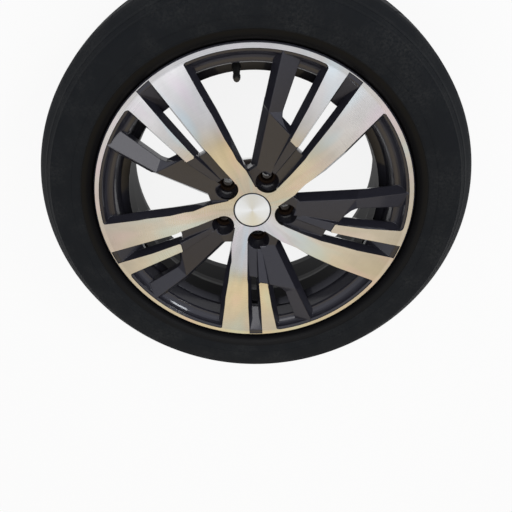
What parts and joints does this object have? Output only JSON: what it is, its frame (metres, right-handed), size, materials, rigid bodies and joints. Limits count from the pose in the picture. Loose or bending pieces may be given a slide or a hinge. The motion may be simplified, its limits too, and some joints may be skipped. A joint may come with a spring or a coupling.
{
  "type": "car wheel and tyre assembly",
  "caption": "Cast light-alloy car wheel with turned split spokes over dark recesses, low-profile tyre, plain centre cap and leaning rubber valve.",
  "frame": {"origin": "centre of the bolt circle on the hub mounting face", "axes": "+Z along the wheel's axis, out of the turned face; +Y towards the valve"},
  "size_m": [0.6815, 0.6814, 0.233],
  "materials": {
    "wheel_paint": "gloss anthracite lacquer with turned bare faces on the spokes and lip",
    "tyre_rubber": "matt black tread compound",
    "cap_plastic": "satin grey",
    "cap_metal": "bright brushed",
    "spring_steel": "drawn wire",
    "valve_rubber": "matt black",
    "valve_brass": "plain machined",
    "seal_rubber": "matt",
    "dust_cap_plastic": "fine-grained black"
  },
  "bodies": {
    "wheel": {"wheel": "wheel_paint", "tyre": "tyre_rubber", "centre_cap": "cap_plastic", "cap_face": "cap_metal", "cap_spring_ring": "spring_steel", "valve_body": "valve_rubber", "valve_stem": "valve_brass", "valve_core_plug": "valve_brass", "valve_core_gasket": "seal_rubber"},
    "valve_pin": {"valve_core_pin": "valve_brass", "valve_core_cup": "valve_brass", "valve_core_spring": "spring_steel"},
    "dust_cap": {"valve_cap": "dust_cap_plastic", "valve_cap_seal": "seal_rubber"}
  },
  "joints": [
    {"name": "pin_press", "type": "slide", "parent": "wheel", "child": "valve_pin", "axis": [0, 0.3843, -0.9232], "range_m": [0, 0.0012], "stiffness_N_per_m": 800},
    {"name": "dust_cap_off", "type": "slide", "parent": "wheel", "child": "dust_cap", "axis": [0, -0.3843, 0.9232], "range_m": [0, 0.012]}
  ]
}
